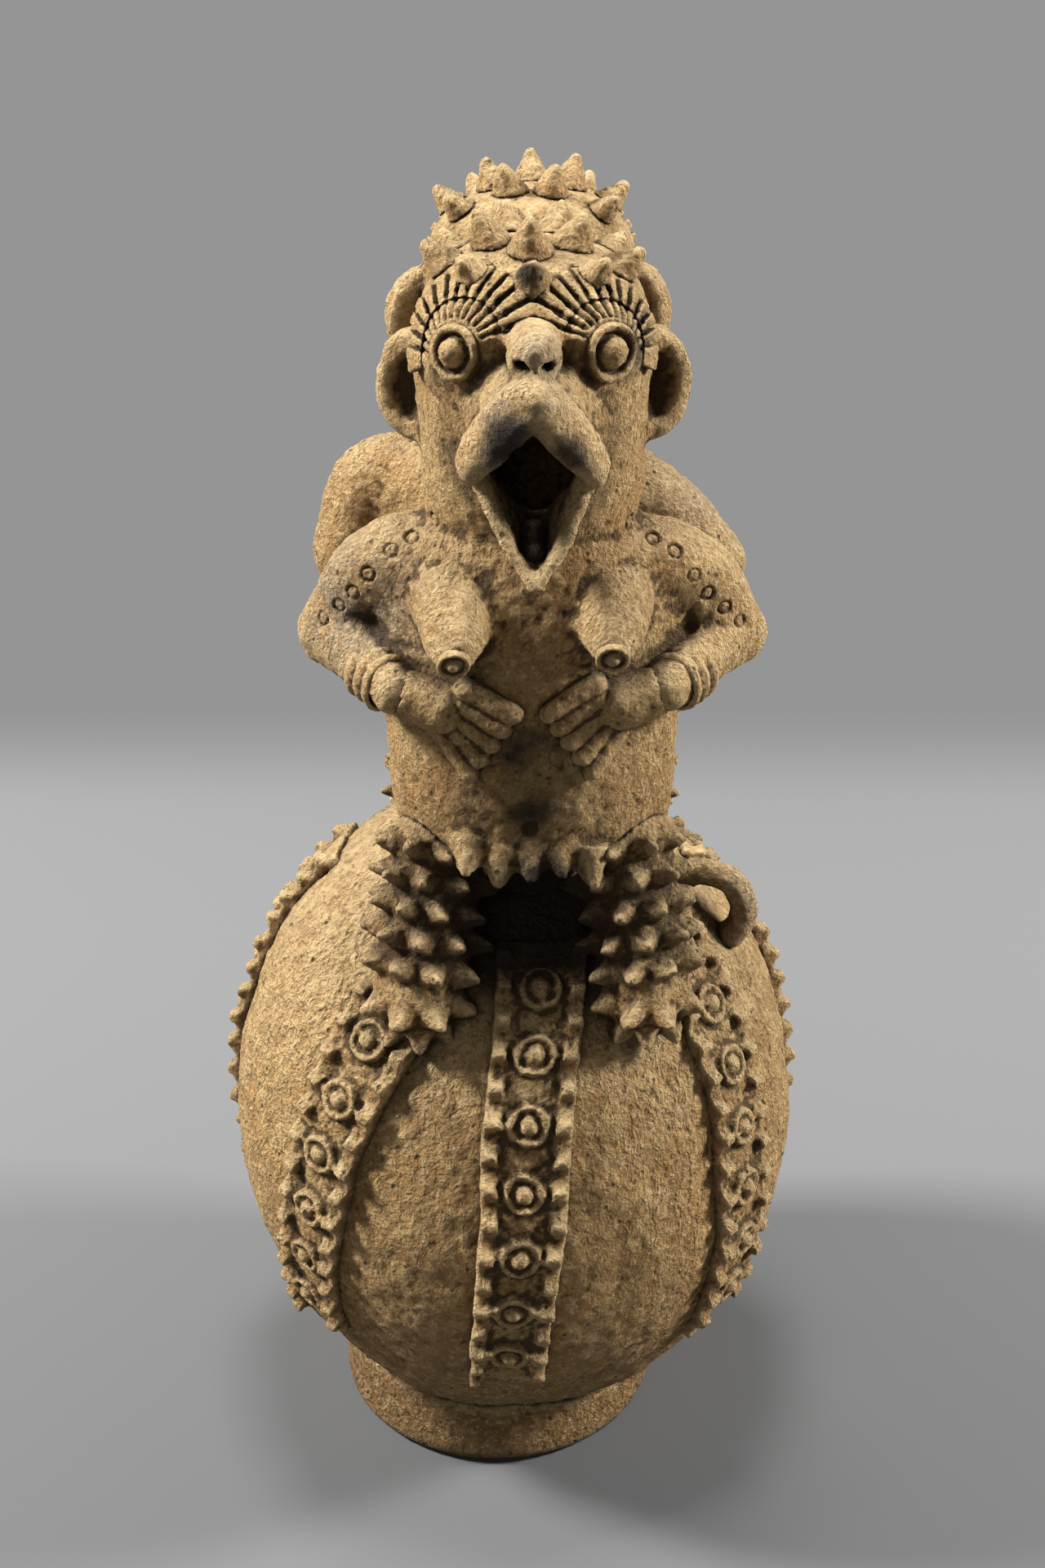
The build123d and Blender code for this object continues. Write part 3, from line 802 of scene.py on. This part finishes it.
def press_rings(mesh, places):
    """Presses the end of a hollow reed into the surface nearest to each place."""
    clay = bpy.context.scene.askos_clay
    reach = 1.9 * clay.ring_radius
    form = bmesh.new()
    form.from_mesh(mesh)
    form.verts.ensure_lookup_table()
    finder = kdtree.KDTree(len(form.verts))
    for vert in form.verts:
        finder.insert(vert.co, vert.index)
    finder.balance()
    chosen = set()
    rings = []
    for place in places:
        centre = form.verts[finder.find(place)[1]]
        rings.append((centre.co.copy(), centre.normal.copy()))
        chosen.update(form.verts[found[1]] for found in finder.find_range(centre.co, reach))
    divide_between(form, chosen)
    form.to_mesh(mesh)
    form.free()
    spots, _ = read_points(mesh)
    for centre, way in rings:
        offset = spots - np.array(centre)
        rise = offset @ np.array(way)
        across = np.linalg.norm(offset - rise[:, None] * np.array(way), axis=1)
        groove = np.exp(-((across - clay.ring_radius) / (0.24 * clay.ring_radius)) ** 2)
        groove[np.abs(rise) > reach] = 0
        spots -= clay.ring_depth * groove[:, None] * np.array(way)
    write_points(mesh, spots)


class ASKOS_OT_globe(bpy.types.Operator):
    """Model the globe and the foot ring that it stands on"""
    bl_idname = "askos.globe"
    bl_label = "Globe and foot"

    def execute(self, context):
        clay = context.scene.askos_clay
        material = fired_clay("globe_clay", grain=1.15, top_light_and_dust=0.5, dragged=2.0)
        for node, rounds in (("globe", 3), ("foot_ring", 6)):
            lump = modelled(node + "_clay", (node,), clay.globe_grain, rounds)
            bent_by_hand(lump.data)
            roughened(lump.data, amount=1.3, pits=True)
            # Painted shade under the arch between each figure's legs
            stains_and_shade = placed("front", globe_arch_shade) + placed("rear", globe_arch_shade)
            dressed(lump, (node,), material, stains_and_shade)
        return {"FINISHED"}


class ASKOS_OT_bands(bpy.types.Operator):
    """Model the applied bands with their pinched edges and ringed bosses"""
    bl_idname = "askos.bands"
    bl_label = "Bands"

    def execute(self, context):
        clay = context.scene.askos_clay
        material = fired_clay("band_clay", grain=1.0, top_light_and_dust=0.45)
        for node in band_nodes:
            lump = modelled(node + "_clay", (node,), clay.band_grain, rounds=3)
            bent_by_hand(lump.data)
            roughened(lump.data, amount=0.8)
            settled(lump.data)
            # Painted shade under the arch between each figure's legs
            stains_and_shade = placed("front", band_arch_shade) + placed("rear", band_arch_shade)
            dressed(lump, (node,), material, stains_and_shade)
        return {"FINISHED"}


class ASKOS_OT_shoulder_ring(bpy.types.Operator):
    """Model the ring that a carrying cord passes through"""
    bl_idname = "askos.shoulder_ring"
    bl_label = "Shoulder ring"

    def execute(self, context):
        clay = context.scene.askos_clay
        material = fired_clay("ring_clay", grain=0.9, top_light_and_dust=0.35)
        lump = modelled("shoulder_ring_clay", ("shoulder_ring",), clay.band_grain, rounds=6)
        bent_by_hand(lump.data)
        roughened(lump.data, amount=0.8)
        low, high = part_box("shoulder_ring")
        centre = (Vector(low) + Vector(high)) / 2
        dressed(lump, ("shoulder_ring",), material, rubbed=((centre, 0.02, 0.9),))
        return {"FINISHED"}


class ASKOS_OT_legs(bpy.types.Operator):
    """Model the studded legs that straddle the globe"""
    bl_idname = "askos.legs"
    bl_label = "Legs"

    def execute(self, context):
        clay = context.scene.askos_clay
        material = fired_clay("leg_clay", grain=0.8, top_light_and_dust=0.4, grime_and_shade=1.0)
        for side in figures:
            for name, hand in (("left", -1), ("right", 1)):
                node = side + "_leg_" + name
                studs = foot_studs(side, hand)
                lump = modelled(node + "_clay", (node,), clay.band_grain, rounds=4, studs=studs)
                bent_by_hand(lump.data)
                roughened(lump.data, amount=0.9)
                # Painted shade under the arch between the legs, and grime on the legs
                dressed(lump, (node,), material, placed(side, leg_grime_and_shade, hand))
        return {"FINISHED"}


class ASKOS_OT_bodies(bpy.types.Operator):
    """Model each figure's body, head and arms in one lump, with reed rings along the arms"""
    bl_idname = "askos.bodies"
    bl_label = "Bodies and heads"

    def execute(self, context):
        clay = context.scene.askos_clay
        material = fired_clay("body_clay", grain=0.8, top_light_and_dust=0.42)
        for side in figures:
            nodes = tuple(side + "_" + node for node in body_nodes)
            studs = girdle_studs(side)
            lump = modelled(side + "_body_clay", nodes, clay.body_grain, rounds=2, studs=studs)
            blended(lump.data, placed(side, neck_joins) + placed_twice(side, arm_joins), rounds=10)
            swelled(lump.data, body_swellings(side))
            added = placed_twice(side, lip_side) + placed_twice(side, breast) + placed(side, lip_top)
            thickened(lump.data, added)
            press_rings(lump.data, ring_places(side))
            lines = comb_lines(side)
            refined(lump.data, lines)
            press_combs(lump.data, lines)
            bent_by_hand(lump.data)
            roughened(lump.data, amount=1.0)
            # Smoke stains, and painted shade on the belly, under the trunk, inside the mouth, on the lip
            # fronts and between the heads
            stains_and_shade = placed(side, trunk_smoke_and_shade + head_smoke_and_shade)
            dressed(lump, nodes, material, stains_and_shade, rubbed=placed(side, body_wear))
        return {"FINISHED"}


class ASKOS_OT_faces(bpy.types.Operator):
    """Model the eyes, combed brows and tongue of each face"""
    bl_idname = "askos.faces"
    bl_label = "Faces"

    def execute(self, context):
        clay = context.scene.askos_clay
        material = fired_clay("face_clay", grain=0.6, top_light_and_dust=0.2)
        for side in figures:
            nodes = tuple(side + "_" + node for node in face_nodes)
            lump = modelled(side + "_face_clay", nodes, clay.fine_grain, rounds=3)
            swelled(lump.data, pushed_twice(side, eye_mound))
            press_combs(lump.data, comb_lines(side))
            bent_by_hand(lump.data)
            roughened(lump.data, amount=0.6)
            # A smoke stain at the temple, and painted shade inside the mouth
            dressed(lump, nodes, material, placed(side, face_smoke_and_shade))
        return {"FINISHED"}


class ASKOS_OT_hair(bpy.types.Operator):
    """Model the pinched spikes of each figure's hair"""
    bl_idname = "askos.hair"
    bl_label = "Hair"

    def execute(self, context):
        clay = context.scene.askos_clay
        material = fired_clay("hair_clay", grain=0.7, top_light_and_dust=0.5)
        for side in figures:
            node = side + "_hair_spikes"
            lump = modelled(side + "_hair_clay", (node,), clay.fine_grain, rounds=4)
            drawn_out(lump.data, turned(side, hair_centre), hair_draw)
            bent_by_hand(lump.data)
            roughened(lump.data, amount=0.8)
            dressed(lump, (node,), material, placed(side, hair_smoke))
        return {"FINISHED"}


class ASKOS_OT_hands(bpy.types.Operator):
    """Model the hands, bracelets and nipples of each figure"""
    bl_idname = "askos.hands"
    bl_label = "Hands"

    def execute(self, context):
        clay = context.scene.askos_clay
        material = fired_clay("hand_clay", grain=0.6, top_light_and_dust=0.4)
        for side in figures:
            nodes = tuple(side + "_" + node for node in hand_nodes)
            lump = modelled(side + "_hand_clay", nodes, clay.fine_grain, rounds=4)
            bent_by_hand(lump.data)
            roughened(lump.data, amount=0.6)
            dressed(lump, nodes, material)
        return {"FINISHED"}


def studio_floor():
    """Pale floor, painted darker towards the front, that ends in the backdrop's grey all round."""
    stage = bpy.context.scene.askos_stage
    form = bmesh.new()
    bmesh.ops.create_grid(form, x_segments=1, y_segments=1, size=6)
    mesh = bpy.data.meshes.new("studio_floor")
    form.to_mesh(mesh)
    form.free()
    bench = Bench(bpy.data.materials.new("studio_floor"))
    depth = bench.add("ShaderNodeSeparateXYZ", {}, {"Vector": bench.place()}, "Y")
    aside = bench.add("ShaderNodeSeparateXYZ", {}, {"Vector": bench.place()}, "X")
    apart = depth.maths("MAXIMUM", depth.maths("ABSOLUTE", depth, 0), aside.maths("ABSOLUTE", aside, 0))
    far = bench.soft(apart, stage.table_depth - 0.05, stage.table_depth + 0.1)
    # Painted shade: the floor is darker towards the front
    table = bench.blend(bench.soft(depth, -0.35, 0.4), opaque(stage.table_front), opaque(stage.table))
    lit = bench.add("ShaderNodeBsdfPrincipled", {}, {"Base Color": table, "Roughness": 0.8})
    backdrop = bench.add("ShaderNodeEmission", {}, {"Color": opaque(stage.distance)})
    mesh.materials.append(bench.close(
        bench.add("ShaderNodeMixShader", {}, {0: far * bench.seen(), 1: lit, 2: backdrop})
    ))
    floor = bpy.data.objects.new("studio_floor", mesh)
    bpy.context.scene.collection.objects.link(floor)


def soft_lamp(name, place, target, size, power):
    """Square soft box turned towards a point of the vessel."""
    data = bpy.data.lights.new(name, "AREA")
    data.shape = "SQUARE"
    data.size = size
    data.energy = power
    lamp = bpy.data.objects.new(name, data)
    lamp.location = place
    lamp.rotation_euler = (Vector(target) - Vector(place)).to_track_quat("-Z", "Y").to_euler()
    bpy.context.scene.collection.objects.link(lamp)


class ASKOS_OT_stage(bpy.types.Operator):
    """Set up the floor, the lamps and the camera"""
    bl_idname = "askos.stage"
    bl_label = "Stage"

    def execute(self, context):
        scene = context.scene
        stage = scene.askos_stage
        studio_floor()
        soft_lamp("top_lamp", (-0.05, 0.1, 2.3), target=(0, 0, 0.2), size=0.5, power=stage.top_power)
        soft_lamp("left_lamp", (-1.5, 0.05, 1.45), target=(0, 0, 0.24), size=0.35, power=stage.left_power)
        soft_lamp("right_lamp", (1.6, 0.04, 1.05), target=(0, 0, 0.22), size=0.35, power=stage.right_power)
        soft_lamp("front_lamp", (-0.35, -1.3, 0.8), target=(0, 0, 0.2), size=1.0, power=stage.front_power)
        bench = Bench(bpy.data.worlds.new("room"))
        room = bench.add("ShaderNodeBackground", {}, {"Strength": stage.sky})
        backdrop = bench.add("ShaderNodeBackground", {}, {"Color": opaque(stage.distance)})
        mixed = bench.add("ShaderNodeMixShader", {}, {0: bench.seen(), 1: room, 2: backdrop})
        scene.world = bench.close(mixed, "ShaderNodeOutputWorld")
        lens = bpy.data.cameras.new("camera")
        lens.lens = stage.lens
        camera = bpy.data.objects.new("camera", lens)
        camera.location = (stage.eye_side, -stage.eye_distance, stage.eye_height)
        camera.rotation_euler = (math.pi / 2 - stage.eye_pitch, 0, 0)
        scene.collection.objects.link(camera)
        scene.camera = camera
        scene.view_settings.view_transform = "Standard"
        return {"FINISHED"}


operators = (
    ASKOS_OT_globe,
    ASKOS_OT_bands,
    ASKOS_OT_shoulder_ring,
    ASKOS_OT_legs,
    ASKOS_OT_bodies,
    ASKOS_OT_faces,
    ASKOS_OT_hair,
    ASKOS_OT_hands,
    ASKOS_OT_stage,
)
groups = {"askos_clay": AskosClay, "askos_colours": AskosColours, "askos_stage": AskosStage}


class ASKOS_PT_panel(bpy.types.Panel):
    """Steps and settings of the askos"""
    bl_idname = "ASKOS_PT_panel"
    bl_label = "Askos"
    bl_space_type = "VIEW_3D"
    bl_region_type = "UI"
    bl_category = "Askos"

    def draw(self, context):
        for group in groups:
            settings = getattr(context.scene, group)
            box = self.layout.box()
            for key in settings.bl_rna.properties.keys():
                if key not in ("rna_type", "name"):
                    box.prop(settings, key)
        for operator in operators:
            self.layout.operator(operator.bl_idname)


def register():
    for kind in (*groups.values(), *operators, ASKOS_PT_panel):
        bpy.utils.register_class(kind)
    for name, group in groups.items():
        setattr(bpy.types.Scene, name, PointerProperty(type=group))


def unregister():
    for name in groups:
        delattr(bpy.types.Scene, name)
    for kind in reversed((*groups.values(), *operators, ASKOS_PT_panel)):
        bpy.utils.unregister_class(kind)


def main():
    register()
    bpy.ops.askos.globe()
    bpy.ops.askos.bands()
    bpy.ops.askos.shoulder_ring()
    bpy.ops.askos.legs()
    bpy.ops.askos.bodies()
    bpy.ops.askos.faces()
    bpy.ops.askos.hair()
    bpy.ops.askos.hands()
    bpy.ops.askos.stage()


if __name__ == "__main__":
    main()
